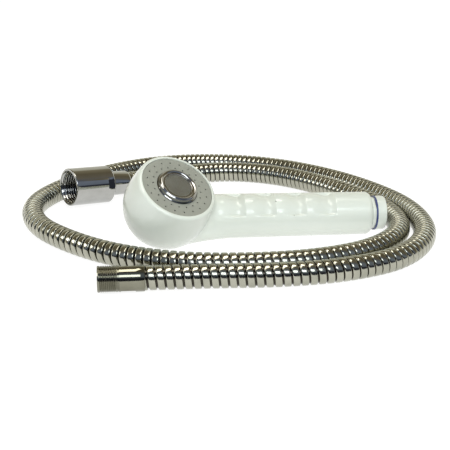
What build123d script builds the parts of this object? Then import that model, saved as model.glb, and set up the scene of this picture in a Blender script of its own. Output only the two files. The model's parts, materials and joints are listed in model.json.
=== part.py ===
from build123d import *
from math import cos, pi, radians, sin, tan
import os

# Hand spray with its stainless hose, laid out on a flat surface (millimetres).
# Row frame: +Z up, +X along the handle towards its tail, +Y away from the spray face's side.
# The origin is under the centre of the hand spray's box, on the surface that it lies on.
#
# Three local frames are used:
#   handle frame  X along the handle axis towards the tail, Z on the face side, origin under the head
#   head frame    Z along the face's normal, origin at the centre of the head's round back
#   fitting frame Z out of a hose end, origin on the end of the hose

os.makedirs("parts", exist_ok=True)

# ---------------------------------------------------------------- driving dimensions
# Where the hand spray lies: it rests on the back of its head and on the tail of its handle.
HEAD_R = 26.4            # round back of the head
HEAD_RISE = 10.9         # centre of the round back above the handle axis
FACE_TILT = 18.2         # face normal leans towards the tail by this angle
ROLL = 29.6              # the whole hand spray is rolled towards -Y by this angle
PITCH = 1.65             # handle axis falls towards the tail by this angle
HEAD_CENTRE = (-55.52, 1.64, HEAD_R)

# Handle, along the handle axis
GRIP_START_X = 6.0
GRIP_START_R = 13.9
GRIP_END_R = 13.3
GRIP_ARC_X = 127.2       # a point on the rounded tail
GRIP_ARC_R = 12.2
GRIP_ROUND_X = 124.0     # the tail starts to round off here
GRIP_END_X = 128.5
GRIP_TIP_R = 9.9
GRIP_BORE_R = 10.6
GRIP_BORE_START_X = 8.0
TAIL_WALL_X = 116.0
TAIL_BORE_R = 7.6
NECK_FILLET = 8.0        # between the head and the handle
SCOOP_PITCH = 18.9       # four finger recesses on the face side
SCOOP_FIRST_CREST = 47.9
SCOOP_COUNT = 4
SCOOP_DEPTH = 1.9
SCOOP_LEVEL = 13.7       # handle surface that a recess is measured from
SCOOP_FALL = 10.9        # gentle side, towards the head
SCOOP_CLIMB = 4.6        # steep side, up to the crest
SCOOP_ARC = 84.0

# Head, along the face normal
RIM_TOP = 18.0
RIM_R = 24.4
RIM_ROUND = 0.9
SIDE_BOW_TOP = 9.0       # halfway up the head's bowed side
SIDE_BOW = 0.56          # and how far it has drawn in there
FACE_BORE_R = 22.25
HEAD_WALL = 3.0
PLATE_TOP = 17.5
PLATE_BACK = 15.2
PLATE_R = 22.1
PLATE_HOLE_R = 12.8
JET_R = 0.55             # forty spray jets in two staggered rings
JET_RINGS = (15.2, 18.9)
JETS_PER_RING = 20
CHAMBER_FLOOR = 2.0
CHAMBER_R = 22.0
CHAMBER_WALL_R = 19.7
SEAL_START = 10.0
SEAL_END = 11.6
SEAL_GROOVE_R = 20.9
FLOOR_TOP = 4.5
HUB_R = 14.0
HUB_BORE_R = 12.9
SEAT_R = 9.5
SEAT_BORE_R = 8.5
SEAT_TOP = 9.0
PORT_R = 1.2
PORT_HEIGHT = 1.8        # above the chamber floor
PORT_COUNT = 6

# Aerator that is pressed in to change from stream to spray
SKIRT_R = 12.4
SKIRT_BACK = 13.0
AERATOR_TOP = 20.4
AERATOR_LIP_R = 8.4
AERATOR_LIP_BACK = 19.3
AERATOR_BORE_R = 9.4
AERATOR_CORE_R = 9.3
SPOOL_DISC_TOP = 14.0
WASHER_TOP = 15.0
CORE_TOP = 18.6
SCREEN_TOP = 19.2
CORE_HOLES = 6
CORE_HOLE_R = 1.3
CORE_HOLE_CIRCLE = 5.6
SPOOL_HOLE_R = 1.6
SPOOL_STEM_R = 2.2
SPOOL_DISC_R = 7.7
SPOOL_BACK = 8.5
SPOOL_SHOULDER = 10.0
SPOOL_GROOVE_R = 7.0
DIVERTER_SEAL_START = 8.8
DIVERTER_SEAL_END = 9.7
DIVERTER_SEAL_R = 8.2
DIVERTER_COIL_R = 11.2
DIVERTER_WIRE_R = 0.45
DIVERTER_TURNS = 3
SPRING_GAP = 0.1

# Water path
WATER_R = 3.9
TUBE_R = 5.0
ELBOW_R = 6.6
SOCKET_R = 5.05
SOCKET_END_X = 12.0      # end of the elbow's socket
TUBE_START_X = 4.5
SOCKET_FLOOR_X = 4.0
O_RING_HEAD_X = 7.0      # O-rings near both ends of the waterway tube
O_RING_TAIL_X = 110.0
O_RING_WIDTH = 1.6
GROOVE_R = 4.4
INLET_THREAD_R = 10.478  # G 1/2 outside thread
INLET_END_X = 137.5
INLET_HEAD_X = 131.6
INLET_ROUND = 1.0
INLET_BORE_R = 5.6
SHANK_R = 7.5
SHANK_START_X = 104.0
SHANK_STOP_R = 9.5       # collar behind the tail wall
SHANK_STOP_WIDTH = 2.5
SHANK_BORE_X = 119.0
COLLAR_R = 9.9
COLLAR_GAP = 18.4        # over the collar's two flats
RING_START_X = 130.6
RING_R = 10.75
VALVE_START_X = 121.0    # check valve cartridge
VALVE_END_X = 131.0
VALVE_R = 5.55
VALVE_BORE_R = 4.0
VALVE_SEAT_X = 129.6
VALVE_SEAT_R = 2.9
GUIDE_END_X = 122.4
GUIDE_R = 1.5
GUIDE_HOLE_R = 0.8
GUIDE_HOLE_CIRCLE = 2.8
POPPET_R = 3.5
POPPET_BACK_X = 127.8
POPPET_FACE_X = 129.5
STEM_R = 1.1
STEM_START_X = 119.5
VALVE_COIL_R = 2.3
VALVE_WIRE_R = 0.3
VALVE_TURNS = 3.5
STRAINER_START_X = 131.2
STRAINER_FLOOR_X = 133.8
STRAINER_END_X = 134.4
STRAINER_BORE_R = 4.7
STRAINER_SLOT_PITCH = 1.6
STRAINER_SLOT_WIDTH = 0.7

# Hose: 14 mm stainless, one nut for a G 1/2 thread, one M15 x 1 outside thread
HOSE_R = 7.0
HOSE_BORE_R = 4.8
LINER_R = 4.6
LINER_BORE_R = 3.65
LINER_TUCK = 11.0        # length of liner inside each end fitting
NIPPLE_R = 3.6
NIPPLE_BORE_R = 2.8
FERRULE_R = 8.1
FERRULE_LENGTH = 13.4
FERRULE_BORE_R = 5.0
NUT_R = 12.5
NUT_BACK = 14.0
NUT_MOUTH = 44.5
NUT_THREAD_R = 9.32      # G 1/2 inside thread, minor radius
NUT_THREAD_START = 31.5
NUT_CAVITY_R = 9.7
NUT_CAVITY_START = 20.5
NUT_NECK_BORE_R = 7.3
NUT_BACK_CHAMFER = 1.6
NUT_FRONT_CHAMFER = 0.6
NUT_FLAT_GAP = 23.7      # over the nut's two small wrench flats
NUT_FLAT_LENGTH = 6.5
NUT_FLAT_TURN = 17.0
NUT_NECK_R = 6.9
FLANGE_START = 21.8
FLANGE_END = 24.8
FLANGE_R = 9.1
THRUST_START = 20.8
THRUST_R = 9.3
THRUST_BORE_R = 6.95
NUT_WASHER_END = 26.8
NUT_WASHER_R = 9.2
NUT_WASHER_BORE_R = 5.5
MALE_R = 7.5             # M15 x 1
MALE_SLEEVE = 14.7
MALE_LENGTH = 26.2
MALE_BORE_R = 5.0
MALE_CHAMFER = 0.5
MALE_GROOVE = 0.6
MALE_GROOVE_DEPTH = 0.45
MALE_FLAT_GAP = 13.8     # over the sleeve's two wrench flats
MALE_FLAT_START = 5.3
MALE_FLAT_END = 13.3
MALE_FLAT_TURN = 111.0
MALE_TAIL_R = 4.95
MALE_TAIL_END = 16.0
MALE_RING_START = 18.0
MALE_RING_END = 19.8
MALE_RING_BORE_R = 3.4

# Points of the hose's route, chosen by hand, from the nut's ferrule to the threaded fitting.
HOSE_ROUTE = [
    (-75.7, 94.6, 11.0), (-52.8, 106.8, 7.9), (-27.5, 118.5, 7.1), (3.0, 120.0, 7.05),
    (32.5, 107.5, 7.05), (56.5, 85.0, 7.05), (76.5, 56.0, 7.05), (91.5, 24.5, 7.05),
    (89.5, -12.0, 7.05), (64.5, -38.0, 7.05), (28.0, -49.5, 7.05), (-14.0, -50.0, 7.05),
    (-54.0, -43.0, 7.05), (-89.0, -25.0, 7.05), (-115.5, 0.5, 7.05), (-135.5, 30.5, 7.05),
    (-139.5, 64.5, 7.05), (-123.5, 94.5, 7.05), (-95.5, 121.0, 7.05), (-55.5, 141.5, 7.05),
    (-10.0, 142.5, 7.05), (32.0, 127.5, 7.05), (67.0, 98.0, 7.05), (92.0, 61.5, 7.05),
    (106.5, 23.5, 7.05), (104.0, -19.0, 7.05), (80.0, -51.0, 7.05), (43.0, -64.5, 7.05),
    (3.0, -67.0, 7.1), (-37.0, -63.0, 7.4), (-73.5, -61.5, 7.75),
]

# ---------------------------------------------------------------- frames
ALONG_X = Rot(0, 90, 0)
HEAD = Pos(0, 0, HEAD_RISE) * Rot(0, FACE_TILT, 0)
TURN = Rot(0, PITCH, 0) * Rot(ROLL, 0, 0)
HEAD_OFFSET = (TURN * Pos(0, 0, HEAD_RISE)).position
LAY_DOWN = Pos(Vector(*HEAD_CENTRE) - HEAD_OFFSET) * TURN


def fitting_frame(end, neighbour):
    """Frame at one end of the hose, with Z pointing out of the hose and X level."""
    outward = (Vector(*end) - Vector(*neighbour)).normalized()
    level = outward.cross(Vector(0, 0, 1))
    return Plane(origin=end, x_dir=level, z_dir=outward).location


NUT_END = fitting_frame(HOSE_ROUTE[0], HOSE_ROUTE[1])
MALE_END = fitting_frame(HOSE_ROUTE[-1], HOSE_ROUTE[-2])

FROM_BASE = (Align.CENTER, Align.CENTER, Align.MIN)


def ring(start, end, outer, inner=0.0):
    """Disc or ring on the Z axis, from one height to another."""
    solid = Pos(0, 0, start) * Cylinder(outer, end - start, align=FROM_BASE)
    if inner > 0:
        solid -= Pos(0, 0, start) * Cylinder(inner, end - start, align=FROM_BASE)
    return solid


def turned(points):
    """Solid turned about the Z axis from (radius, height) corners."""
    outline = Polyline(*[(r, 0, z) for r, z in points], close=True)
    return revolve(make_face(outline), axis=Axis.Z)


def around(count, shape, start=0.0):
    """Copies of a shape at even steps about the Z axis."""
    step = 360.0 / count
    return [Rot(0, 0, start + step * i) * shape for i in range(count)]


def coil(start, end, coil_r, wire_r, turns):
    """Open compression spring on the Z axis."""
    height = end - start - 2 * wire_r
    path = Helix(pitch=height / turns, height=height, radius=coil_r)
    section = Plane(origin=path @ 0, z_dir=path % 0) * Circle(wire_r)
    return Pos(0, 0, start + wire_r) * sweep(section, path=path, is_frenet=True)


def save(node, shape):
    shape.label = node
    export_step(shape, "parts/" + node + ".step")


# ---------------------------------------------------------------- hand spray: shell
def head_outside():
    """Round back, gently narrowing to a rounded rim."""
    low = (0, 0, -HEAD_R)
    side = (HEAD_R, 0, 0)
    rim = (RIM_R, 0, RIM_TOP - RIM_ROUND)
    lip = (RIM_R - RIM_ROUND, 0, RIM_TOP)
    turn_45 = HEAD_R * cos(radians(45))
    bow = (HEAD_R - SIDE_BOW, 0, SIDE_BOW_TOP)
    rim_45 = RIM_ROUND * (1 - cos(radians(45)))
    outline = [
        ThreePointArc(low, (turn_45, 0, -turn_45), side),
        ThreePointArc(side, bow, rim),
        ThreePointArc(rim, (RIM_R - rim_45, 0, RIM_TOP - rim_45), lip),
        Line(lip, (0, 0, RIM_TOP)),
        Line((0, 0, RIM_TOP), low),
    ]
    return HEAD * revolve(make_face(outline), axis=Axis.Z)


def grip_outside():
    """Tapered handle with a rounded tail."""
    start = (GRIP_START_R, 0, GRIP_START_X)
    taper_end = (GRIP_END_R, 0, GRIP_ROUND_X)
    tip = (GRIP_TIP_R, 0, GRIP_END_X)
    outline = [
        Line((0, 0, GRIP_START_X), start),
        Line(start, taper_end),
        ThreePointArc(taper_end, (GRIP_ARC_R, 0, GRIP_ARC_X), tip),
        Line(tip, (0, 0, GRIP_END_X)),
        Line((0, 0, GRIP_END_X), (0, 0, GRIP_START_X)),
    ]
    return ALONG_X * revolve(make_face(outline), axis=Axis.Z)


def recess_arc(deepest, end_x):
    """Arc that is level at the deepest point and comes up to the handle's surface at end_x."""
    floor = SCOOP_LEVEL - SCOOP_DEPTH
    reach = end_x - deepest
    radius = (reach**2 + SCOOP_DEPTH**2) / (2 * SCOOP_DEPTH)
    middle = floor + radius - (radius**2 - (reach / 2) ** 2) ** 0.5
    return ThreePointArc((deepest, 0, floor), (deepest + reach / 2, 0, middle), (end_x, 0, SCOOP_LEVEL))


def scoop(crest):
    """Cutter for one finger recess: gentle on the head's side, steep up to its crest."""
    deepest = crest - SCOOP_CLIMB
    start = deepest - SCOOP_FALL
    above = SCOOP_LEVEL + 2 * SCOOP_DEPTH
    outline = [
        recess_arc(deepest, start),
        recess_arc(deepest, crest),
        Line((crest, 0, SCOOP_LEVEL), (crest, 0, above)),
        Line((crest, 0, above), (start, 0, above)),
        Line((start, 0, above), (start, 0, SCOOP_LEVEL)),
    ]
    cutter = revolve(make_face(outline), axis=Axis.X, revolution_arc=SCOOP_ARC)
    return Rot(-SCOOP_ARC / 2, 0, 0) * cutter


def make_shell():
    shell = head_outside() + grip_outside()
    seam = [edge for edge in shell.edges() if edge.geom_type == GeomType.BSPLINE]
    shell = fillet(seam, NECK_FILLET)
    for i in range(SCOOP_COUNT):
        shell -= scoop(SCOOP_FIRST_CREST + SCOOP_PITCH * i)
    back_room = Sphere(HEAD_R - HEAD_WALL) & ring(-HEAD_R, 0, HEAD_R)
    shell -= HEAD * back_room
    shell -= HEAD * ring(-0.5, RIM_TOP + 1, FACE_BORE_R)
    shell -= ALONG_X * ring(GRIP_BORE_START_X, TAIL_WALL_X, GRIP_BORE_R)
    shell -= ALONG_X * ring(TAIL_WALL_X - 1, GRIP_END_X + 1, TAIL_BORE_R)
    return shell


# ---------------------------------------------------------------- hand spray: head
def make_face_plate():
    plate = ring(PLATE_BACK, PLATE_TOP, PLATE_R, PLATE_HOLE_R)
    jet = ring(PLATE_BACK - 1, PLATE_TOP + 1, JET_R)
    half_step = 180.0 / JETS_PER_RING
    for i, radius in enumerate(JET_RINGS):
        plate -= around(JETS_PER_RING, Pos(radius, 0, 0) * jet, half_step * i)
    return HEAD * plate


def make_spray_chamber():
    body = ring(CHAMBER_FLOOR, PLATE_BACK, CHAMBER_R, CHAMBER_WALL_R)
    body += ring(CHAMBER_FLOOR, FLOOR_TOP, CHAMBER_R, WATER_R)
    body += ring(FLOOR_TOP, PLATE_BACK, HUB_R, HUB_BORE_R)
    body += ring(FLOOR_TOP, SEAT_TOP, SEAT_R, SEAT_BORE_R)
    body -= ring(SEAL_START, SEAL_END, CHAMBER_R + 1, SEAL_GROOVE_R)
    port_start = Pos(SEAT_BORE_R - 1, 0, FLOOR_TOP + PORT_HEIGHT)
    port = port_start * ALONG_X * ring(0, HUB_R - SEAT_BORE_R + 2, PORT_R)
    body -= around(PORT_COUNT, port)
    return HEAD * body


def make_waterway_elbow():
    """Elbow under the chamber floor, with a socket for the waterway tube."""
    corner = -HEAD_RISE / cos(radians(FACE_TILT))
    corner_x = corner * sin(radians(FACE_TILT))
    body = HEAD * ring(corner, CHAMBER_FLOOR, ELBOW_R)
    body += Pos(corner_x, 0, 0) * Sphere(ELBOW_R)
    body += ALONG_X * ring(corner_x, SOCKET_END_X, ELBOW_R)
    body -= HEAD * ring(corner, CHAMBER_FLOOR, WATER_R)
    body -= ALONG_X * ring(corner_x, TUBE_START_X, WATER_R)
    body -= ALONG_X * ring(SOCKET_FLOOR_X, SOCKET_END_X, SOCKET_R)
    return body


def make_aerator_housing():
    """Chromed ring: a skirt that slides in the plate, a low rounded rim and an inner lip."""
    return HEAD * turned([
        (AERATOR_BORE_R, SKIRT_BACK), (SKIRT_R, SKIRT_BACK), (SKIRT_R, 17.7),
        (12.0, 18.1), (11.9, 19.3), (11.5, 20.0), (10.9, AERATOR_TOP), (10.1, AERATOR_TOP),
        (9.4, 20.0), (9.2, 19.7), (AERATOR_LIP_R, 19.6), (AERATOR_LIP_R, AERATOR_LIP_BACK),
        (AERATOR_BORE_R, AERATOR_LIP_BACK),
    ])


def make_aerator_core():
    core = ring(WASHER_TOP, CORE_TOP, AERATOR_CORE_R)
    passage = ring(WASHER_TOP - 1, CORE_TOP + 1, CORE_HOLE_R)
    core -= around(CORE_HOLES, Pos(CORE_HOLE_CIRCLE, 0, 0) * passage)
    core -= passage
    return HEAD * core


def make_diverter_spool():
    """Stem with a drilled disc under the aerator and a sealing disc in the seat."""
    body = ring(SKIRT_BACK, SPOOL_DISC_TOP, AERATOR_CORE_R)
    hole = ring(SKIRT_BACK - 1, SPOOL_DISC_TOP + 1, SPOOL_HOLE_R)
    body -= around(CORE_HOLES, Pos(CORE_HOLE_CIRCLE, 0, 0) * hole)
    body += ring(SPOOL_SHOULDER, SKIRT_BACK, SPOOL_STEM_R)
    body += ring(SPOOL_BACK, SPOOL_SHOULDER, SPOOL_DISC_R)
    body -= ring(DIVERTER_SEAL_START, DIVERTER_SEAL_END, SPOOL_DISC_R + 1, SPOOL_GROOVE_R)
    return HEAD * body


# ---------------------------------------------------------------- hand spray: water inlet
def make_waterway_tube():
    tube = ring(TUBE_START_X, TAIL_WALL_X, TUBE_R, WATER_R)
    for start in (O_RING_HEAD_X, O_RING_TAIL_X):
        tube -= ring(start, start + O_RING_WIDTH, TUBE_R + 1, GROOVE_R)
    return ALONG_X * tube


def make_waterway_o_rings():
    rings = ring(O_RING_HEAD_X, O_RING_HEAD_X + O_RING_WIDTH, SOCKET_R, GROOVE_R)
    rings += ring(O_RING_TAIL_X, O_RING_TAIL_X + O_RING_WIDTH, SOCKET_R, GROOVE_R)
    return ALONG_X * rings


def make_inlet_spigot():
    """Shank held in the tail, with an outside thread that stands out of it."""
    head = ring(INLET_HEAD_X, INLET_END_X, INLET_THREAD_R)
    head = fillet(head.edges().sort_by(Axis.Z)[-1], INLET_ROUND)
    body = head + ring(SHANK_START_X, INLET_HEAD_X, SHANK_R)
    body += ring(TAIL_WALL_X - SHANK_STOP_WIDTH, TAIL_WALL_X, SHANK_STOP_R)
    body -= ring(SHANK_START_X, TAIL_WALL_X, SOCKET_R)
    body -= ring(TAIL_WALL_X, SHANK_BORE_X, WATER_R)
    body -= ring(SHANK_BORE_X, INLET_END_X, INLET_BORE_R)
    return ALONG_X * body


def make_tail_collar():
    collar = ring(GRIP_END_X, RING_START_X, COLLAR_R, TAIL_BORE_R)
    between_flats = Box(COLLAR_GAP, 2 * COLLAR_R + 1, 2 * INLET_END_X)
    return ALONG_X * (collar & between_flats)


def make_check_valve_housing():
    """Cartridge with a seat at the inlet side and a drilled guide for the stem."""
    body = ring(VALVE_START_X, VALVE_END_X, VALVE_R, VALVE_BORE_R)
    body += ring(VALVE_SEAT_X, VALVE_END_X, VALVE_BORE_R + 0.5, VALVE_SEAT_R)
    body += ring(VALVE_START_X, GUIDE_END_X, VALVE_BORE_R + 0.5, GUIDE_R)
    hole = ring(VALVE_START_X - 0.5, GUIDE_END_X + 0.5, GUIDE_HOLE_R)
    body -= around(4, Pos(GUIDE_HOLE_CIRCLE, 0, 0) * hole)
    return ALONG_X * body


def make_check_valve_poppet():
    disc = ring(POPPET_BACK_X, POPPET_FACE_X, POPPET_R)
    stem = ring(STEM_START_X, POPPET_BACK_X, STEM_R)
    return ALONG_X * (disc + stem)


def make_inlet_strainer():
    body = ring(STRAINER_START_X, STRAINER_END_X, VALVE_R, STRAINER_BORE_R)
    body += ring(STRAINER_FLOOR_X, STRAINER_END_X, VALVE_R - 0.5)
    slot = Box(STRAINER_SLOT_WIDTH, 1.5 * STRAINER_BORE_R, 4)
    middle = Pos(0, 0, (STRAINER_FLOOR_X + STRAINER_END_X) / 2)
    body -= [middle * Pos(STRAINER_SLOT_PITCH * i, 0, 0) * slot for i in (-1, 0, 1)]
    return ALONG_X * body


# ---------------------------------------------------------------- hose
def corner_radii(points):
    """Arc at each corner: 0.45 of the shorter run over the tangent of half the turn."""
    radii = []
    for before, here, after in zip(points, points[1:], points[2:]):
        run_in = Vector(*here) - Vector(*before)
        run_out = Vector(*after) - Vector(*here)
        half_turn = radians(run_in.get_angle(run_out)) / 2
        radii.append(0.45 * min(run_in.length, run_out.length) / tan(half_turn))
    return radii


def stretched(points, extra):
    """The same route, with both ends carried straight on."""
    first = Vector(*points[0])
    last = Vector(*points[-1])
    start = first + (first - Vector(*points[1])).normalized() * extra
    end = last + (last - Vector(*points[-2])).normalized() * extra
    return [tuple(start), *points[1:-1], tuple(end)]


def tube_along(points, radii, outer, inner):
    path = FilletPolyline(*points, radius=radii)
    section = Plane(origin=path @ 0, z_dir=path % 0) * (Circle(outer) - Circle(inner))
    return path, sweep(section, path=path)


def flats(gap, radius, start, end, turn):
    """Cutters that leave two flats, gap apart, on a round body."""
    depth = radius - gap / 2 + 1
    block = Box(depth, 2 * radius, end - start)
    out = (gap + depth) / 2
    return [Rot(0, 0, turn + half) * Pos(out, 0, (start + end) / 2) * block for half in (0, 180)]


def make_swivel_nut():
    """Long nut, free to turn on the flanged tail, with two wrench flats near its back."""
    body = ring(NUT_BACK, NUT_MOUTH, NUT_R)
    body = chamfer(body.edges().sort_by(Axis.Z)[0], NUT_BACK_CHAMFER)
    body = chamfer(body.edges().sort_by(Axis.Z)[-1], NUT_FRONT_CHAMFER)
    body -= ring(NUT_BACK, NUT_CAVITY_START, NUT_NECK_BORE_R)
    body -= ring(NUT_CAVITY_START, NUT_THREAD_START, NUT_CAVITY_R)
    body -= ring(NUT_THREAD_START, NUT_MOUTH, NUT_THREAD_R)
    body -= flats(NUT_FLAT_GAP, NUT_R, NUT_BACK - 1, NUT_BACK + NUT_FLAT_LENGTH, NUT_FLAT_TURN)
    return NUT_END * body


def make_nut_tail():
    """Brass tail: hose barb, neck and the flange that the nut pulls on."""
    start = -LINER_TUCK - 2
    body = ring(start, FERRULE_LENGTH, NIPPLE_R)
    body += ring(FERRULE_LENGTH, FLANGE_START, NUT_NECK_R)
    body += ring(FLANGE_START, FLANGE_END, FLANGE_R)
    body -= ring(start, FLANGE_END, NIPPLE_BORE_R)
    return NUT_END * body


def make_male_fitting():
    """Chromed end with an outside thread and two wrench flats on its sleeve."""
    body = ring(0, MALE_LENGTH, MALE_R)
    body = chamfer(body.edges().sort_by(Axis.Z)[-1], MALE_CHAMFER)
    body -= ring(0, MALE_LENGTH, MALE_BORE_R)
    body -= ring(MALE_SLEEVE - MALE_GROOVE, MALE_SLEEVE, MALE_R + 1, MALE_R - MALE_GROOVE_DEPTH)
    body -= flats(MALE_FLAT_GAP, MALE_R, MALE_FLAT_START, MALE_FLAT_END, MALE_FLAT_TURN)
    return MALE_END * body


def make_male_tail():
    """Brass tail inside the threaded end, with its hose barb."""
    start = -LINER_TUCK - 2
    body = ring(start, LINER_TUCK, NIPPLE_R)
    body += ring(LINER_TUCK, MALE_TAIL_END, MALE_TAIL_R)
    body -= ring(start, MALE_TAIL_END, NIPPLE_BORE_R)
    return MALE_END * body


# ---------------------------------------------------------------- all nodes
handset_nodes = {
    "handset_shell": make_shell(),
    "face_plate": make_face_plate(),
    "spray_chamber": make_spray_chamber(),
    "chamber_seal": HEAD * ring(SEAL_START, SEAL_END, CHAMBER_R + 0.1, SEAL_GROOVE_R),
    "waterway_elbow": make_waterway_elbow(),
    "waterway_tube": make_waterway_tube(),
    "waterway_o_rings": make_waterway_o_rings(),
    "inlet_spigot": make_inlet_spigot(),
    "tail_collar": make_tail_collar(),
    "tail_ring": ALONG_X * ring(RING_START_X, INLET_HEAD_X, RING_R, TAIL_BORE_R),
    "check_valve_housing": make_check_valve_housing(),
    "check_valve_poppet": make_check_valve_poppet(),
    "check_valve_spring": ALONG_X * coil(
        GUIDE_END_X + SPRING_GAP, POPPET_BACK_X - SPRING_GAP, VALVE_COIL_R, VALVE_WIRE_R, VALVE_TURNS
    ),
    "inlet_strainer": make_inlet_strainer(),
    "aerator_housing": make_aerator_housing(),
    "aerator_washer": HEAD * ring(SPOOL_DISC_TOP, WASHER_TOP, AERATOR_CORE_R, SPOOL_DISC_R),
    "aerator_core": make_aerator_core(),
    "aerator_screen": HEAD * ring(CORE_TOP, SCREEN_TOP, AERATOR_CORE_R),
    "diverter_spool": make_diverter_spool(),
    "diverter_seal": HEAD * ring(DIVERTER_SEAL_START, DIVERTER_SEAL_END, DIVERTER_SEAL_R, SPOOL_GROOVE_R),
    "diverter_spring": HEAD * coil(
        FLOOR_TOP + SPRING_GAP, SKIRT_BACK - SPRING_GAP, DIVERTER_COIL_R, DIVERTER_WIRE_R, DIVERTER_TURNS
    ),
}

radii = corner_radii(HOSE_ROUTE)
hose_path, hose_armour = tube_along(HOSE_ROUTE, radii, HOSE_R, HOSE_BORE_R)
liner_route = stretched(HOSE_ROUTE, LINER_TUCK)
liner_path, hose_liner = tube_along(liner_route, radii, LINER_R, LINER_BORE_R)

hose_nodes = {
    "hose_armour": hose_armour,
    "hose_liner": hose_liner,
    "nut_ferrule": NUT_END * ring(0, FERRULE_LENGTH, FERRULE_R, FERRULE_BORE_R),
    "nut_tail": make_nut_tail(),
    "nut_thrust_ring": NUT_END * ring(THRUST_START, FLANGE_START, THRUST_R, THRUST_BORE_R),
    "nut_washer": NUT_END * ring(FLANGE_END, NUT_WASHER_END, NUT_WASHER_R, NUT_WASHER_BORE_R),
    "swivel_nut": make_swivel_nut(),
    "male_fitting": make_male_fitting(),
    "male_tail": make_male_tail(),
    "male_o_ring": MALE_END * ring(MALE_RING_START, MALE_RING_END, MALE_TAIL_R, MALE_RING_BORE_R),
}

for node, shape in handset_nodes.items():
    save(node, LAY_DOWN * shape)
for node, shape in hose_nodes.items():
    save(node, shape)

section_area = pi * (HOSE_R**2 - HOSE_BORE_R**2)
print("hose arcs, mm:", [round(r) for r in radii])
print("hose length, mm:", round(hose_path.length, 1))
print("hose volume over section times length:", round(hose_armour.volume / (section_area * hose_path.length), 4))
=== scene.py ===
"""Looks of the hand spray and its stainless hose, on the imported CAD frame. Units are metres."""
import json
import math

import bmesh
import bpy
import numpy as np
from mathutils import Matrix, Vector


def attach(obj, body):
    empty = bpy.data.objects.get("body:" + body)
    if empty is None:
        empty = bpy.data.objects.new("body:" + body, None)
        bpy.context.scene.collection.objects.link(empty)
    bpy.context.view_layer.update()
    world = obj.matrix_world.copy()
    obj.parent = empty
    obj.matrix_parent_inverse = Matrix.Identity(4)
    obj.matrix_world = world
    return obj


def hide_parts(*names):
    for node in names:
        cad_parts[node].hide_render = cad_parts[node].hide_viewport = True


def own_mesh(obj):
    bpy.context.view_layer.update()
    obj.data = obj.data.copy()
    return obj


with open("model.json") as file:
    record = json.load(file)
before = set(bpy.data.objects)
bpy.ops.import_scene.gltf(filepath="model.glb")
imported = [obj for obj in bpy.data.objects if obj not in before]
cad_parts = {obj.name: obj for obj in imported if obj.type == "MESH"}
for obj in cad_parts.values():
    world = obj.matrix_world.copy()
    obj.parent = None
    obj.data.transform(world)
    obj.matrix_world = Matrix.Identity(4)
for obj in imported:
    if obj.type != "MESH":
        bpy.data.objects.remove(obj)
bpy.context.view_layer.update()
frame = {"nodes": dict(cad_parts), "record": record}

MM = 0.001

# ---------------------------------------------------------------- camera
camera = bpy.data.objects.new("camera", bpy.data.cameras.new("camera"))
bpy.context.scene.collection.objects.link(camera)
camera.data.lens = 83.2
camera.data.sensor_width = 36.0
camera.data.clip_start = 0.01
camera.data.clip_end = 20.0
camera.location = (-0.1027, -0.5882, 0.2430)
camera.rotation_euler = (math.radians(68.8), 0.0, math.radians(-8.0))
bpy.context.scene.camera = camera

# ---------------------------------------------------------------- frames, as in the CAD
HEAD_R_MM = 26.4
HEAD_RISE_MM = 10.9             # head's centre above the handle's axis
HEAD_R = HEAD_R_MM * MM
HEAD_RISE = HEAD_RISE_MM * MM
FACE_TILT = math.radians(18.2)
ROLL = math.radians(29.6)
PITCH = math.radians(1.65)
HEAD_CENTRE = Vector((-0.05552, 0.00164, HEAD_R))

TURN = Matrix.Rotation(PITCH, 4, "Y") @ Matrix.Rotation(ROLL, 4, "X")
HANDLE = Matrix.Translation(HEAD_CENTRE - TURN @ Vector((0, 0, HEAD_RISE))) @ TURN
HEAD = HANDLE @ Matrix.Translation((0, 0, HEAD_RISE)) @ Matrix.Rotation(FACE_TILT, 4, "Y")
ALONG_HANDLE = HANDLE @ Matrix.Rotation(math.radians(90), 4, "Y")

HOSE_R = 7.0 * MM

# Points of the hose's route, the same as the CAD's, from the nut's ferrule to the threaded end.
HOSE_ROUTE = [
    (-0.0757, 0.0946, 0.0110), (-0.0528, 0.1068, 0.0079), (-0.0275, 0.1185, 0.0071),
    (0.0030, 0.1200, 0.00705), (0.0325, 0.1075, 0.00705), (0.0565, 0.0850, 0.00705),
    (0.0765, 0.0560, 0.00705), (0.0915, 0.0245, 0.00705), (0.0895, -0.0120, 0.00705),
    (0.0645, -0.0380, 0.00705), (0.0280, -0.0495, 0.00705), (-0.0140, -0.0500, 0.00705),
    (-0.0540, -0.0430, 0.00705), (-0.0890, -0.0250, 0.00705), (-0.1155, 0.0005, 0.00705),
    (-0.1355, 0.0305, 0.00705), (-0.1395, 0.0645, 0.00705), (-0.1235, 0.0945, 0.00705),
    (-0.0955, 0.1210, 0.00705), (-0.0555, 0.1415, 0.00705), (-0.0100, 0.1425, 0.00705),
    (0.0320, 0.1275, 0.00705), (0.0670, 0.0980, 0.00705), (0.0920, 0.0615, 0.00705),
    (0.1065, 0.0235, 0.00705), (0.1040, -0.0190, 0.00705), (0.0800, -0.0510, 0.00705),
    (0.0430, -0.0645, 0.00705), (0.0030, -0.0670, 0.0071), (-0.0370, -0.0630, 0.0074),
    (-0.0735, -0.0615, 0.00775),
]


def end_frame(end, neighbour):
    """Frame at a hose end, with Z out of the hose and X as level as it can be."""
    out = (Vector(end) - Vector(neighbour)).normalized()
    side = out.cross(Vector((0, 0, 1))).normalized()
    up = out.cross(side)
    rows = Matrix((side, up, out)).transposed().to_4x4()
    return Matrix.Translation(end) @ rows


NUT_END = end_frame(HOSE_ROUTE[0], HOSE_ROUTE[1])
MALE_END = end_frame(HOSE_ROUTE[-1], HOSE_ROUTE[-2])


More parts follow.
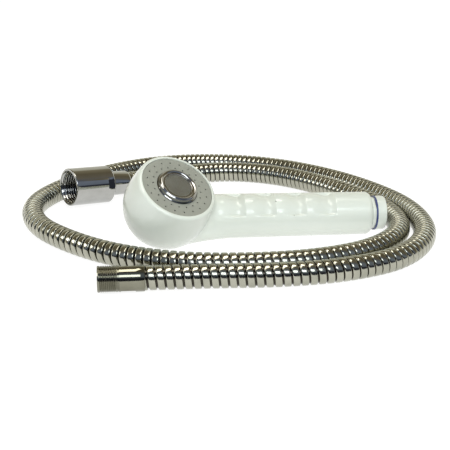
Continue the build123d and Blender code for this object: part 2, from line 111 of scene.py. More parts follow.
# ---------------------------------------------------------------- mesh helpers
def add_object(name, verts, faces, sharp_angle=35.0):
    """New smooth-shaded mesh object, with edges over the angle kept sharp."""
    mesh = bpy.data.meshes.new(name)
    mesh.from_pydata([tuple(v) for v in verts], [], faces)
    mesh.validate()
    mesh.update()
    obj = bpy.data.objects.new(name, mesh)
    bpy.context.scene.collection.objects.link(obj)
    mesh.shade_smooth()
    mesh.set_sharp_from_angle(angle=math.radians(sharp_angle))
    return obj


def arc(centre, radius, start, end, steps=6):
    """Points of an arc in the (r, z) plane, in mm and degrees from +r."""
    points = []
    for i in range(steps + 1):
        a = math.radians(start + (end - start) * i / steps)
        points.append((centre[0] + radius * math.cos(a), centre[1] + radius * math.sin(a)))
    return points


def thread_wave(phase):
    """Rounded thread form: 0 at the root and 1 at the crest."""
    return 0.5 - 0.5 * math.cos(2.0 * math.pi * phase)


ROWS_PER_PITCH = 16


def outline_rows(profile, thread):
    """The outline's points as (r, z, ridged), with rows added along its threaded radius."""
    rows = []
    for k, (r, z) in enumerate(profile):
        rows.append((r, z, False))
        after_r, after_z = profile[(k + 1) % len(profile)]
        if thread and r == after_r and abs(r - thread[4]) < 1e-6:
            count = max(2, round(abs(after_z - z) / thread[2] * ROWS_PER_PITCH))
            for i in range(1, count):
                rows.append((r, z + (after_z - z) * i / count, True))
    return rows


def cut_flat(x, y, radius, a, half_gap, turn):
    """Moves a point at angle a back to the nearer of two flats, if it lies past it."""
    facing = math.radians(turn)
    over = radius * abs(math.cos(a - facing)) - half_gap
    if over <= 0:
        return x, y
    away = math.copysign(over, math.cos(a - facing))
    return x - away * math.cos(facing), y - away * math.sin(facing)


def spun(name, profile, place, segments=96, thread=None, flats=None, closed=True, sharp_angle=35.0):
    """Mesh turned about Z from an (r, z) outline in mm.

    thread is (start, end, pitch, depth, radius): the outline's stretch on that radius gets a helical
    ridge, which fades out over a pitch at start and end. flats is (start, end, half_gap, turn): the
    outline is cut back to two flats between those heights, turned by so many degrees from X.
    """
    rows = outline_rows(profile, thread)
    verts = []
    for r, z, ridged in rows:
        for j in range(segments):
            turn = j / segments
            radius = r
            if ridged:
                start, end, pitch, depth, _ = thread
                fade = min(1.0, (z - start) / pitch, (end - z) / pitch)
                radius = r - depth * max(0.0, fade) * (1.0 - thread_wave(z / pitch - turn))
            a = 2 * math.pi * turn
            x, y = radius * math.cos(a), radius * math.sin(a)
            if flats and flats[0] <= z <= flats[1] and r > flats[2]:
                x, y = cut_flat(x, y, radius, a, flats[2], flats[3])
            verts.append(place @ Vector((x * MM, y * MM, z * MM)))
    faces = []
    last = len(rows) if closed else len(rows) - 1
    for k in range(last):
        a, b = k * segments, ((k + 1) % len(rows)) * segments
        for j in range(segments):
            n = (j + 1) % segments
            faces.append((a + j, a + n, b + n, b + j))
    return add_object(name, verts, faces, sharp_angle)


# ---------------------------------------------------------------- material helpers
def new_material(name, **sockets):
    """Principled material with constant sockets set by name."""
    mat = bpy.data.materials.new(name)
    mat.use_nodes = True
    shader = mat.node_tree.nodes["Principled BSDF"]
    for socket, value in sockets.items():
        shader.inputs[socket.replace("_", " ")].default_value = value
    return mat, mat.node_tree, shader


def noise(tree, scale, detail=4.0, stretch=None, coords="Object"):
    """Noise texture, with its scale in features per metre."""
    place = tree.nodes.new("ShaderNodeTexCoord")
    texture = tree.nodes.new("ShaderNodeTexNoise")
    texture.inputs["Scale"].default_value = scale
    texture.inputs["Detail"].default_value = detail
    if stretch:
        mapping = tree.nodes.new("ShaderNodeMapping")
        mapping.inputs["Scale"].default_value = stretch
        tree.links.new(place.outputs[coords], mapping.inputs["Vector"])
        tree.links.new(mapping.outputs["Vector"], texture.inputs["Vector"])
    else:
        tree.links.new(place.outputs[coords], texture.inputs["Vector"])
    return texture


def ramp(tree, source, stops):
    """Colour ramp from (position, colour) stops."""
    node = tree.nodes.new("ShaderNodeValToRGB")
    elements = node.color_ramp.elements
    while len(elements) < len(stops):
        elements.new(0.5)
    for element, (position, colour) in zip(elements, stops):
        element.position = position
        element.color = (*colour, 1.0) if len(colour) == 3 else colour
    tree.links.new(source, node.inputs["Fac"])
    return node


def span(tree, source, low, high):
    """Maps 0..1 to low..high."""
    node = tree.nodes.new("ShaderNodeMapRange")
    node.inputs["To Min"].default_value = low
    node.inputs["To Max"].default_value = high
    tree.links.new(source, node.inputs["Value"])
    return node


def bump(tree, shader, height, strength, distance):
    """Fine relief from a height in 0..1."""
    node = tree.nodes.new("ShaderNodeBump")
    node.inputs["Strength"].default_value = strength
    node.inputs["Distance"].default_value = distance
    tree.links.new(height, node.inputs["Height"])
    tree.links.new(node.outputs["Normal"], shader.inputs["Normal"])


def plastic(name, light, dark, rough, gloss_bump, coat=0.0):
    """Moulded plastic: faint mottling in colour and gloss, and a fine orange peel."""
    mat, tree, shader = new_material(name, IOR=1.5, Coat_Weight=coat, Coat_Roughness=0.08)
    mottling = noise(tree, 45.0, 5.0)
    tone = ramp(tree, mottling.outputs["Fac"], [(0.3, dark), (0.7, light)])
    tree.links.new(tone.outputs["Color"], shader.inputs["Base Color"])
    wear = noise(tree, 160.0, 6.0)
    gloss = span(tree, wear.outputs["Fac"], rough[0], rough[1])
    tree.links.new(gloss.outputs["Result"], shader.inputs["Roughness"])
    peel = noise(tree, 900.0, 3.0)
    bump(tree, shader, peel.outputs["Fac"], gloss_bump, 0.0001)
    return mat


def metal(name, light, dark, rough, scratch_scale, strength):
    """Bare or plated metal: faint cloudiness, smudged gloss and fine scratches."""
    mat, tree, shader = new_material(name, Metallic=1.0)
    clouds = noise(tree, 120.0, 5.0)
    tone = ramp(tree, clouds.outputs["Fac"], [(0.3, dark), (0.7, light)])
    tree.links.new(tone.outputs["Color"], shader.inputs["Base Color"])
    smudges = noise(tree, 220.0, 6.0)
    gloss = span(tree, smudges.outputs["Fac"], rough[0], rough[1])
    tree.links.new(gloss.outputs["Result"], shader.inputs["Roughness"])
    scratches = noise(tree, scratch_scale, 4.0)
    bump(tree, shader, scratches.outputs["Fac"], strength, 0.00005)
    return mat


white_plastic = plastic(
    "white_plastic", (0.61, 0.645, 0.58), (0.585, 0.62, 0.555), (0.16, 0.26), 0.05, coat=0.25)
white_shader = white_plastic.node_tree.nodes["Principled BSDF"]
white_shader.inputs["Subsurface Weight"].default_value = 0.08
white_shader.inputs["Subsurface Radius"].default_value = (0.003, 0.003, 0.0025)
grey_plastic = plastic(
    "grey_plastic", (0.265, 0.272, 0.23), (0.23, 0.237, 0.20), (0.45, 0.6), 0.25)
inner_plastic = plastic(
    "inner_plastic", (0.70, 0.71, 0.69), (0.64, 0.65, 0.63), (0.4, 0.5), 0.1)
blue_ring = plastic(
    "blue_ring", (0.035, 0.05, 0.16), (0.025, 0.04, 0.13), (0.3, 0.45), 0.15)
strainer_plastic = plastic(
    "strainer_plastic", (0.75, 0.76, 0.74), (0.70, 0.71, 0.69), (0.35, 0.5), 0.1)
black_rubber = plastic(
    "black_rubber", (0.03, 0.03, 0.03), (0.02, 0.02, 0.02), (0.6, 0.8), 0.4)
chrome = metal("chrome", (0.44, 0.44, 0.42), (0.39, 0.39, 0.37), (0.03, 0.08), 1500.0, 0.04)
# nickel is a darker, warmer copy of the chrome: painted shade for the dim floor that the threaded end
# mirrors.
nickel = metal("nickel", (0.25, 0.245, 0.19), (0.19, 0.185, 0.14), (0.05, 0.12), 1500.0, 0.08)
brass = metal("brass", (0.75, 0.56, 0.28), (0.66, 0.48, 0.22), (0.2, 0.35), 900.0, 0.15)
spring_steel = metal("spring_steel", (0.60, 0.60, 0.60), (0.5, 0.5, 0.5), (0.25, 0.4), 900.0, 0.15)
screen_steel = metal("screen_steel", (0.34, 0.33, 0.27), (0.26, 0.25, 0.20), (0.35, 0.5), 900.0, 0.2)


def strip_material():
    """Polished stainless strip: lines along the strip, and painted shade that makes it darker and duller
    down in its groove.
    """
    mat, tree, shader = new_material("stainless_strip", Metallic=1.0)
    depth = tree.nodes.new("ShaderNodeAttribute")
    depth.attribute_name = "groove"
    clouds = noise(tree, 90.0, 4.0)
    tone = ramp(tree, clouds.outputs["Fac"], [(0.3, (0.32, 0.32, 0.26)), (0.7, (0.42, 0.415, 0.345))])
    # The groove attribute mixes in a near-black base colour: painted shade down in the strip's groove.
    dark = tree.nodes.new("ShaderNodeMix")
    dark.data_type = "RGBA"
    dark.inputs["B"].default_value = (0.045, 0.04, 0.032, 1.0)
    tree.links.new(depth.outputs["Fac"], dark.inputs["Factor"])
    tree.links.new(tone.outputs["Color"], dark.inputs["A"])
    tree.links.new(dark.outputs["Result"], shader.inputs["Base Color"])
    lines = noise(tree, 1.0, 5.0, stretch=(3.0, 900.0, 1.0), coords="UV")
    gloss = span(tree, lines.outputs["Fac"], 0.07, 0.2)
    tree.links.new(gloss.outputs["Result"], shader.inputs["Roughness"])
    bump(tree, shader, lines.outputs["Fac"], 0.12, 0.00003)
    return mat


stainless_strip = strip_material()


# ---------------------------------------------------------------- hose
def smooth_route(points):
    """Points read from the route's NURBS spline."""
    curve = bpy.data.curves.new("route", "CURVE")
    curve.dimensions = "3D"
    curve.resolution_u = 32
    spline = curve.splines.new("NURBS")
    spline.points.add(len(points) - 1)
    for point, place in zip(spline.points, points):
        point.co = (*place, 1.0)
    spline.order_u = 3
    spline.use_endpoint_u = True
    obj = bpy.data.objects.new("route", curve)
    bpy.context.scene.collection.objects.link(obj)
    mesh = bpy.data.meshes.new_from_object(obj)
    line = np.array([v.co for v in mesh.vertices])
    bpy.data.objects.remove(obj)
    bpy.data.meshes.remove(mesh)
    return line


class Route:
    """Arc-length positions and turning-free frames along a line."""

    def __init__(self, line):
        steps = np.linalg.norm(np.diff(line, axis=0), axis=1)
        keep = np.r_[True, steps > 1e-7]
        line = line[keep]
        self.s = np.r_[0.0, np.cumsum(np.linalg.norm(np.diff(line, axis=0), axis=1))]
        self.length = float(self.s[-1])
        self.line = line
        count = int(self.length / 0.0005)
        self.grid = np.linspace(0, self.length, count)
        self.places = np.stack([np.interp(self.grid, self.s, line[:, i]) for i in range(3)], 1)
        tangent = np.gradient(self.places, self.grid, axis=0)
        kernel = np.ones(9) / 9
        padded = np.pad(tangent, ((4, 4), (0, 0)), mode="edge")
        tangent = np.stack([np.convolve(padded[:, i], kernel, "valid") for i in range(3)], 1)
        tangent /= np.linalg.norm(tangent, axis=1)[:, None]
        side = np.cross(tangent[0], (0.0, 0.0, 1.0))
        sides = []
        for t in tangent:
            side = side - t * np.dot(side, t)
            side /= np.linalg.norm(side)
            sides.append(side)
        self.sides = np.array(sides)
        self.ups = np.cross(tangent, self.sides)

    def at(self, s, radius, angle):
        """Places at distance s along the line, radius from it and angle round it, as arrays."""
        def pick(table):
            return np.stack([np.interp(s, self.grid, table[:, i]) for i in range(3)], -1)
        out = pick(self.sides) * np.cos(angle)[..., None] + pick(self.ups) * np.sin(angle)[..., None]
        return pick(self.places) + out * radius[..., None]


# The strip's pitch in mm along the hose: drawn out on the front runs, closed up elsewhere.
PITCH_KEYS = [(0.0, 3.7), (0.10, 3.6), (0.24, 3.9), (0.31, 4.6), (0.36, 5.0), (0.44, 4.9), (0.50, 4.0),
              (0.56, 3.4), (0.72, 3.6), (0.80, 3.7), (0.85, 4.3), (0.90, 4.8), (0.94, 5.0), (1.0, 5.0)]
BAND_MM = 4.15                  # widest band that shows
SEAM_MM = 0.3                   # narrowest groove
GROOVE_DEPTH = 1.15 * MM
STRIP_WIDTH = 5.0 * MM          # the band and its groove, for the lines along the strip
AROUND = 40                     # rows of the strip in one turn
# Band outline: (place across the band, drop below the crown as a share of the groove's depth)
BAND = [(0.0, 0.72), (0.03, 0.34), (0.075, 0.12), (0.15, 0.035), (0.28, 0.004), (0.5, 0.0),
        (0.72, 0.01), (0.86, 0.07), (0.94, 0.28), (1.0, 0.72)]
GROOVE = [(0.12, 1.0), (0.88, 1.0)]


def make_hose():
    """Interlocked strip wound round the route: a domed band and a groove for each turn."""
    route = Route(smooth_route(HOSE_ROUTE))
    fine = np.linspace(0, route.length, 4000)
    keys = np.array(PITCH_KEYS)
    pitch = np.interp(fine / route.length, keys[:, 0], keys[:, 1]) * MM
    turns = np.r_[0.0, np.cumsum(np.diff(fine) / (0.5 * (pitch[1:] + pitch[:-1])))]
    total = turns[-1]
    rows = int(math.ceil((total + 1) * AROUND))
    row = np.arange(-AROUND, rows)
    columns = len(BAND) + len(GROOVE)
    start = row / AROUND
    local = np.interp(np.interp(np.clip(start, 0, total), turns, fine), fine, pitch)
    band = np.minimum(BAND_MM * MM, local - SEAM_MM * MM) / local
    phase = np.empty((len(row), columns))
    drop = np.empty((len(row), columns))
    for j, (across, low) in enumerate(BAND):
        phase[:, j] = start + band * across
        drop[:, j] = low
    for j, (across, low) in enumerate(GROOVE):
        phase[:, len(BAND) + j] = start + band + (1 - band) * across
        drop[:, len(BAND) + j] = low
    s = np.interp(np.clip(phase, 0, total), turns, fine)
    angle = np.repeat((2 * np.pi * start)[:, None], columns, 1)
    places = route.at(s, HOSE_R - GROOVE_DEPTH * drop, angle)
    verts = places.reshape(-1, 3)
    index = np.arange(len(row) * columns).reshape(len(row), columns)
    faces = []
    for k in range(len(row) - 1):
        for j in range(columns - 1):
            faces.append((index[k, j], index[k + 1, j], index[k + 1, j + 1], index[k, j + 1]))
        if k + AROUND + 1 < len(row):
            after = k + AROUND
            faces.append((index[k, -1], index[k + 1, -1], index[after + 1, 0], index[after, 0]))
    inside = (phase.reshape(-1) > -0.001) & (phase.reshape(-1) < total + 0.001)
    faces = [tuple(int(i) for i in f) for f in faces if any(inside[i] for i in f)]
    obj = add_object("hose_strip", verts, faces, sharp_angle=60.0)
    # The groove attribute carries painted shade: how far down the groove each point lies, which darkens the
    # strip's colour there.
    groove = obj.data.attributes.new("groove", "FLOAT", "POINT")
    shade = np.clip((drop.reshape(-1) - 0.3) / 0.7, 0, 1)
    groove.data.foreach_set("value", shade.astype(np.float32))
    uv = obj.data.uv_layers.new(name="strip")
    loops = np.empty(len(obj.data.loops), dtype=np.int32)
    obj.data.loops.foreach_get("vertex_index", loops)
    along = np.repeat(start, columns) * 2 * math.pi * HOSE_R
    across = np.tile(np.linspace(0, STRIP_WIDTH, columns), len(row))
    coords = np.stack([along[loops], across[loops]], 1).astype(np.float32)
    uv.data.foreach_set("uv", coords.reshape(-1))
    strip = bmesh.new()
    strip.from_mesh(obj.data)
    bmesh.ops.delete(strip, geom=[v for v in strip.verts if not v.link_faces], context="VERTS")
    bmesh.ops.remove_doubles(strip, verts=strip.verts, dist=1e-6)
    ends = [e for e in strip.edges if e.is_boundary]
    bmesh.ops.holes_fill(strip, edges=ends, sides=0)
    bmesh.ops.recalc_face_normals(strip, faces=strip.faces)
    strip.to_mesh(obj.data)
    strip.free()
    obj.data.materials.append(stainless_strip)
    return obj, route


hose, hose_route = make_hose()
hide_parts("hose_armour")
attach(hose, "hose")


# ---------------------------------------------------------------- hose ends
NUT_THREAD_MM = (31.5, 43.4, 1.814, 1.16, 10.48)     # start, end, pitch, depth, radius
MALE_THREAD_MM = (14.9, 25.7, 1.0, 0.5, 7.49)


def make_nut():
    """Long nut: rolled front edge, inside thread, chamfered back and two small wrench flats."""
    outline = [
        (7.3, 14.0), (10.4, 14.0), (12.1, 15.5), *arc((11.9, 16.2), 0.6, -45, 0, 3)[1:],
        (12.5, 16.4), (12.5, 20.5), (12.5, 20.7), (12.5, 43.9), *arc((11.95, 43.95), 0.55, 0, 90, 5),
        (11.2, 44.5), (10.9, 44.2), (10.48, 43.4), (10.48, 31.5), (9.7, 31.3), (9.7, 20.5), (7.3, 20.5),
    ]
    return spun("nut_body", outline, NUT_END, 144, thread=NUT_THREAD_MM,
                flats=(13.9, 20.6, 11.85, 17), sharp_angle=50.0)


nut = make_nut()
nut.data.materials.append(chrome)
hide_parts("swivel_nut")
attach(nut, "nut")

ferrule = spun("nut_sleeve", [
    (5.0, 0.0), (7.4, 0.0), (8.0, 0.9), (8.1, 1.2), (8.1, 12.6), *arc((7.6, 12.9), 0.5, 0, 90, 4),
    (5.0, 13.4),
], NUT_END, 96)
ferrule.data.materials.append(chrome)
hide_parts("nut_ferrule")
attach(ferrule, "hose")

male = spun("threaded_end", [
    (5.0, 0.0), (7.2, 0.0), (7.5, 0.3), (7.5, 5.1), (7.5, 5.3), (7.5, 13.3), (7.5, 13.5), (7.5, 14.1),
    (7.05, 14.3), (7.05, 14.7), (7.49, 14.9), (7.49, 25.7), (7.1, 26.2), (5.4, 26.2), (5.0, 25.8),
], MALE_END, 128, thread=MALE_THREAD_MM, flats=(5.2, 13.4, 6.9, 111), sharp_angle=50.0)
# The threaded end takes the darker copy of the chrome: painted shade, not a different finish.
male.data.materials.append(nickel)
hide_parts("male_fitting")
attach(male, "hose")


# ---------------------------------------------------------------- hand spray shell
def round_max(a, b, r):
    """Intersection of two solids whose edge is rounded to r."""
    u, v = np.maximum(a + r, 0), np.maximum(b + r, 0)
    return np.minimum(-r, np.maximum(a, b)) + np.sqrt(u * u + v * v)


# The shell's sizes, in mm in the handle's frame: X along the handle, Z towards the face's side.
SIDE_BOW = 73.0                 # radius of the head's gently bowed sides
FACE_TOP = 18.0                 # face plane above the head's centre
FACE_EDGE = 1.3
GRIP_R = 13.9
GRIP_TAPER = 0.6                # what the grip's radius loses from TAPER_START over TAPER_LENGTH
TAPER_START, TAPER_LENGTH = 6.0, 118.0
GRIP_END, GRIP_END_EDGE = 128.5, 3.6
CRESTS = (47.9, 66.8, 85.7, 104.6)
RECESS_DEPTH, RECESS_LENGTH = 1.9, 15.5
FALL_SHARE, CLIMB_SHARE = 0.74, 0.24
WINDOW_DEG, WINDOW_FADE_DEG = 45.0, 7.5
FILLET_BACK, FILLET_FACE = 38.0, 5.0


def head_field(p):
    """Signed distance, in mm, from the head: a round back, gently bowed sides and a rounded rim."""
    x, y, z = p[..., 0], p[..., 1], p[..., 2] - HEAD_RISE_MM
    height = x * math.sin(FACE_TILT) + z * math.cos(FACE_TILT)
    flat = x * math.cos(FACE_TILT) - z * math.sin(FACE_TILT)
    reach = np.sqrt(flat * flat + y * y)
    side = np.sqrt((reach - HEAD_R_MM + SIDE_BOW) ** 2 + height**2) - SIDE_BOW
    back = np.sqrt(reach**2 + height**2) - HEAD_R_MM
    body = np.where(height > 0, side, back)
    return round_max(body, height - FACE_TOP, FACE_EDGE)


def grip_field(p):
    """Signed distance from the tapered handle, with its rounded tail."""
    x = p[..., 0]
    reach = np.sqrt(p[..., 1] ** 2 + p[..., 2] ** 2)
    radius = GRIP_R - GRIP_TAPER * np.clip((x - TAPER_START) / TAPER_LENGTH, 0, 1)
    body = reach - radius
    return np.maximum(round_max(body, x - GRIP_END, GRIP_END_EDGE), -x)


def recess_depth(p):
    """Depth of the finger recesses: each falls gently from the head side and rises steeply to a crest."""
    x = p[..., 0]
    around = np.degrees(np.arctan2(p[..., 1], p[..., 2]))
    depth = np.zeros_like(x)
    for crest in CRESTS:
        t = (crest - x) / RECESS_LENGTH
        fall = np.clip((1.0 - t) / FALL_SHARE, 0, 1)
        climb = np.clip(t / CLIMB_SHARE, 0, 1)
        fall = fall * fall * (3 - 2 * fall)
        climb = climb * (1.5 - 0.5 * climb)
        depth = np.maximum(depth, fall * climb)
    window = np.clip((WINDOW_DEG - np.abs(around)) / WINDOW_FADE_DEG, 0, 1)
    window = window * window * (3 - 2 * window)
    return RECESS_DEPTH * depth * window


def gradient(field, p, step=0.02):
    """Slope of a field at the places p, by central differences."""
    parts = []
    for i in range(3):
        d = np.zeros(3)
        d[i] = step
        parts.append((field(p + d) - field(p - d)) / (2 * step))
    return np.stack(parts, -1)


def shell_field(p):
    """Head and handle, joined by a fillet, less the recesses.

    The fillet is wide on the back and tight on the face's side, grows with the angle between the two
    surfaces, and fades out towards the back of the head, where the handle's flat end lies inside.
    """
    a, b = head_field(p), grip_field(p)
    near = (np.abs(a - b) < 40.0) & (np.minimum(a, b) < 6.0) & (np.minimum(a, b) > -14.0)
    joined = np.minimum(a, b)
    if near.any():
        q = p[near]
        na, nb = gradient(head_field, q), gradient(grip_field, q)
        na /= np.linalg.norm(na, axis=-1, keepdims=True) + 1e-9
        nb /= np.linalg.norm(nb, axis=-1, keepdims=True) + 1e-9
        face_side = np.clip((q[:, 2] + 6.0) / 14.0, 0, 1)
        radius = FILLET_BACK - (FILLET_BACK - FILLET_FACE) * face_side * face_side * (3 - 2 * face_side)
        handle_side = np.clip((q[:, 0] + 2.0) / 8.0, 0, 1)
        fillet = np.maximum(radius * handle_side * (1.0 - np.sum(na * nb, -1)), 1e-3)
        mix = np.maximum(fillet - np.abs(a[near] - b[near]), 0) / fillet
        joined[near] = np.minimum(a[near], b[near]) - mix * mix * fillet * 0.25
    return joined + recess_depth(p)


def surface_net(field, low, high, cell):
    """Quads on the zero surface of a field, by surface nets, then moved exactly onto it."""
    axes = [np.arange(low[i], high[i] + cell, cell) for i in range(3)]
    grid = np.stack(np.meshgrid(*axes, indexing="ij"), -1)
    values = np.empty(grid.shape[:3])
    for i in range(grid.shape[0]):
        values[i] = field(grid[i])
    inside = values < 0
    shape = inside.shape
    corner = [(i, j, k) for i in (0, 1) for j in (0, 1) for k in (0, 1)]
    cut = [inside[i:shape[0] - 1 + i, j:shape[1] - 1 + j, k:shape[2] - 1 + k] for i, j, k in corner]
    total = np.sum(cut, axis=0)
    mixed = (total > 0) & (total < 8)
    number = np.full(mixed.shape, -1)
    number[mixed] = np.arange(mixed.sum())
    cells = np.argwhere(mixed)
    points = np.array(low) + (cells + 0.5) * cell
    faces = []
    for axis in range(3):
        a = [slice(None)] * 3
        b = [slice(None)] * 3
        a[axis], b[axis] = slice(0, -1), slice(1, None)
        change = inside[tuple(a)] != inside[tuple(b)]
        rising = inside[tuple(a)] & ~inside[tuple(b)]
        u, v = [i for i in range(3) if i != axis]
        for at in np.argwhere(change):
            if at[u] == 0 or at[v] == 0 or at[u] >= mixed.shape[u] or at[v] >= mixed.shape[v]:
                continue
            quad = []
            for du, dv in ((-1, -1), (0, -1), (0, 0), (-1, 0)):
                c = at.copy()
                c[u] += du
                c[v] += dv
                quad.append(int(number[tuple(c)]))
            flip = bool(rising[tuple(at)]) != (axis == 1)
            faces.append(tuple(quad if flip else quad[::-1]))
    for _ in range(5):
        g = gradient(field, points)
        size = np.maximum(np.sum(g * g, -1), 0.2)
        move = g * (field(points) / size)[:, None]
        points = points - np.clip(move, -0.4 * cell, 0.4 * cell)
    return points, faces


def cutter(name, profile, place):
    """Closed turned solid used to cut a bore."""
    obj = spun(name, profile, place, 160, closed=False)
    fill = bmesh.new()
    fill.from_mesh(obj.data)
    bmesh.ops.holes_fill(fill, edges=[e for e in fill.edges if e.is_boundary], sides=0)
    bmesh.ops.recalc_face_normals(fill, faces=fill.faces)
    fill.to_mesh(obj.data)
    fill.free()
    return obj


def make_shell():
    cell = 0.55
    points, faces = surface_net(shell_field, (-29.0, -29.0, -20.0), (132.0, 29.0, 42.0), cell)
    place = np.array(HANDLE)
    points = points * MM @ place[:3, :3].T + place[:3, 3]
    shell = add_object("spray_body", points, faces, sharp_angle=50.0)
    head_room = cutter("head_room", [
        (0.001, -23.4), *arc((0.0, 0.0), 23.4, -85, -18, 12), (22.25, -6.5), (22.25, 20.0),
        (0.001, 20.0),
    ], HEAD)
    grip_room = cutter("grip_room", [
        (0.001, 8.0), (10.6, 8.0), (10.6, 116.0), (7.6, 116.0), (7.6, 130.0), (0.001, 130.0),
    ], ALONG_HANDLE)
    for tool in (head_room, grip_room):
        modifier = shell.modifiers.new(tool.name, "BOOLEAN")
        modifier.operation = "DIFFERENCE"
        modifier.solver = "EXACT"
        modifier.use_self = True
        modifier.object = tool
    bpy.context.view_layer.update()
    cut = bpy.data.meshes.new_from_object(shell.evaluated_get(bpy.context.evaluated_depsgraph_get()))
    shell.modifiers.clear()
    shell.data = cut
    skin = bmesh.new()
    skin.from_mesh(cut)
    bmesh.ops.remove_doubles(skin, verts=skin.verts, dist=2e-6)
    bmesh.ops.dissolve_degenerate(skin, edges=skin.edges, dist=2e-6)
    skin.to_mesh(cut)
    skin.free()
    cut.validate()
    for tool in (head_room, grip_room):
        bpy.data.objects.remove(tool)
    cut.shade_smooth()
    cut.set_sharp_from_angle(angle=math.radians(50.0))
    return shell


shell = make_shell()
shell.data.materials.clear()
shell.data.materials.append(white_plastic)
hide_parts("handset_shell")
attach(shell, "handset")

# ---------------------------------------------------------------- aerator
ring_outline = [
    (9.4, 13.0), (12.4, 13.0), (12.4, 17.7), (12.0, 18.0), (12.0, 18.9), *arc((11.6, 19.4), 0.4, -20, 45, 4),
    (11.45, 19.95), *arc((10.6, 19.6), 0.8, 35, 100, 6), (9.75, 20.05), (9.45, 19.75), (9.2, 19.75),
    *arc((8.75, 19.4), 0.35, 80, 170, 4), (8.35, 19.3), (9.4, 19.3),
]
housing = spun("aerator_ring", ring_outline, HEAD, 128)
housing.data.materials.append(chrome)
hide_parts("aerator_housing")
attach(housing, "aerator")


def make_screen():
    """Woven wire disc: two sets of wires that pass over and under each other."""
    wire, gap, reach, sides = 0.13, 0.43, 9.25, 6       # mm, and the sides of a wire's section
    level, weave = 18.9, 0.1                            # mm above the head's centre, and rise and fall
    count = int(reach / gap)
    verts, faces = [], []
    for turn in (0, 1):
        for i in range(-count, count + 1):
            offset = i * gap
            half = math.sqrt(max(reach**2 - offset**2, 0.01))
            steps = max(4, int(2 * half / gap * 4))
            first = len(verts)
            for k in range(steps + 1):
                t = -half + 2 * half * k / steps
                lift = weave * math.cos(math.pi * t / gap + math.pi * (i + turn))
                for m in range(sides):
                    a = 2 * math.pi * m / sides
                    u, v, w = t, offset + wire * math.cos(a), level + lift + wire * math.sin(a)
                    spot = Vector((u, v, w)) if turn == 0 else Vector((v, u, w))
                    verts.append(HEAD @ (spot * MM))
            for k in range(steps):
                for m in range(sides):
                    n = (m + 1) % sides
                    a, b = first + k * sides, first + (k + 1) * sides
                    faces.append((a + m, b + m, b + n, a + n))
    return add_object("aerator_mesh", verts, faces, 60.0)


screen = make_screen()
screen.data.materials.append(screen_steel)
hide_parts("aerator_screen")
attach(screen, "aerator")

# ---------------------------------------------------------------- materials of the CAD nodes
SLOTS = {
    "white_plastic": white_plastic, "grey_plastic": grey_plastic, "inner_plastic": inner_plastic,
    "chrome": chrome, "nickel": nickel, "stainless": stainless_strip, "spring_steel": spring_steel,
    "screen_steel": screen_steel, "brass": brass, "black_rubber": black_rubber,
    "blue_ring": blue_ring, "liner_plastic": inner_plastic, "strainer_plastic": strainer_plastic,
}
for part in frame["record"]["subparts"]:
    node = frame["nodes"][part["node"]]
    node.data.materials.clear()
    node.data.materials.append(SLOTS[part["material_slot"]])


# ---------------------------------------------------------------- springs
def make_spring(node_name):
    """Copy of a CAD spring in its place, with its own mesh, on the handset's body."""
    node = frame["nodes"][node_name]
    spring = bpy.data.objects.new(node_name + "_coil", node.data.copy())
    bpy.context.scene.collection.objects.link(spring)
    spring.matrix_world = node.matrix_world
    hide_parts(node_name)
    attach(spring, "handset")
    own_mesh(spring)


make_spring("diverter_spring")
make_spring("check_valve_spring")


# ---------------------------------------------------------------- floor and light
def make_floor():
    """White table that the set lies on."""
    size = 3.0
    corners = [(-size, -size, 0), (size, -size, 0), (size, size, 0), (-size, size, 0)]
    obj = add_object("table", corners, [(0, 1, 2, 3)])
    mat, tree, shader = new_material("table_white", Roughness=0.6)
    paper = noise(tree, 400.0, 4.0)
    tone = ramp(tree, paper.outputs["Fac"], [(0.3, (0.22, 0.22, 0.22)), (0.7, (0.25, 0.25, 0.25))])
    tree.links.new(tone.outputs["Color"], shader.inputs["Base Color"])
    shader.inputs["Emission Color"].default_value = (1.0, 1.0, 1.0, 1.0)
    shader.inputs["Emission Strength"].default_value = 0.88
    obj.data.materials.append(mat)


make_floor()


def add_light(name, place, target, size, power, colour=(1.0, 1.0, 1.0)):
    """Soft rectangular light."""
    data = bpy.data.lights.new(name, "AREA")
    data.shape = "RECTANGLE"
    data.size, data.size_y = size
    data.energy = power
    data.color = colour
    obj = bpy.data.objects.new(name, data)
    bpy.context.scene.collection.objects.link(obj)
    obj.location = place
    obj.rotation_euler = (Vector(target) - Vector(place)).to_track_quat("-Z", "Y").to_euler()
    return obj


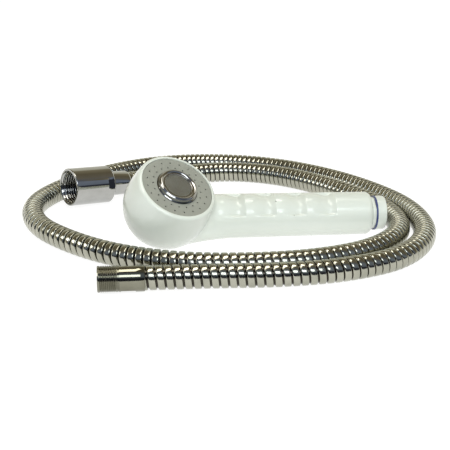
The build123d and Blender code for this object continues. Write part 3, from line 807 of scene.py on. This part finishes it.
add_light("top_light", (-0.05, 0.06, 1.15), (0.0, 0.0, 0.0), (1.0, 0.34), 5.4, (1.0, 0.96, 0.88))
add_light("window_light", (0.0, -0.86, 0.80), (0.0, 0.0, 0.0), (0.8, 0.34), 4.2, (0.88, 0.94, 1.0))
add_light("left_light", (-1.0, 0.1, 0.5), (-0.1, 0.0, 0.0), (0.35, 0.35), 1.6, (1.0, 1.0, 1.0))
fill = add_light("fill_light", (0.15, -1.1, 0.6), (0.0, 0.0, 0.02), (1.1, 0.7), 11.5, (0.98, 1.0, 0.98))
fill.visible_glossy = False


def make_world():
    """Pale surroundings with a darker room on the camera's side."""
    world = bpy.data.worlds.new("surroundings")
    bpy.context.scene.world = world
    world.use_nodes = True
    tree = world.node_tree
    background = tree.nodes["Background"]
    place = tree.nodes.new("ShaderNodeTexCoord")
    split = tree.nodes.new("ShaderNodeSeparateXYZ")
    tree.links.new(place.outputs["Generated"], split.inputs["Vector"])
    # Angle in the YZ plane: 0 towards +Y, a quarter turn up, a half turn towards -Y.
    angle = tree.nodes.new("ShaderNodeMath")
    angle.operation = "ARCTAN2"
    tree.links.new(split.outputs["Z"], angle.inputs[0])
    tree.links.new(split.outputs["Y"], angle.inputs[1])
    turn = tree.nodes.new("ShaderNodeMath")
    turn.operation = "DIVIDE"
    turn.inputs[1].default_value = math.pi
    tree.links.new(angle.outputs["Value"], turn.inputs[0])
    tone = ramp(tree, turn.outputs["Value"], [
        (0.0, (0.80, 0.79, 0.70)), (0.20, (0.74, 0.72, 0.60)), (0.25, (0.34, 0.30, 0.20)),
        (0.38, (0.20, 0.17, 0.11)), (0.54, (0.22, 0.20, 0.16)), (0.60, (0.16, 0.17, 0.20)),
        (0.68, (0.26, 0.30, 0.38)), (0.84, (0.22, 0.26, 0.34)), (0.88, (0.04, 0.045, 0.06)),
        (1.0, (0.04, 0.045, 0.06)),
    ])
    tree.links.new(tone.outputs["Color"], background.inputs["Color"])
    background.inputs["Strength"].default_value = 1.0


make_world()
bpy.context.scene.view_settings.view_transform = "Standard"
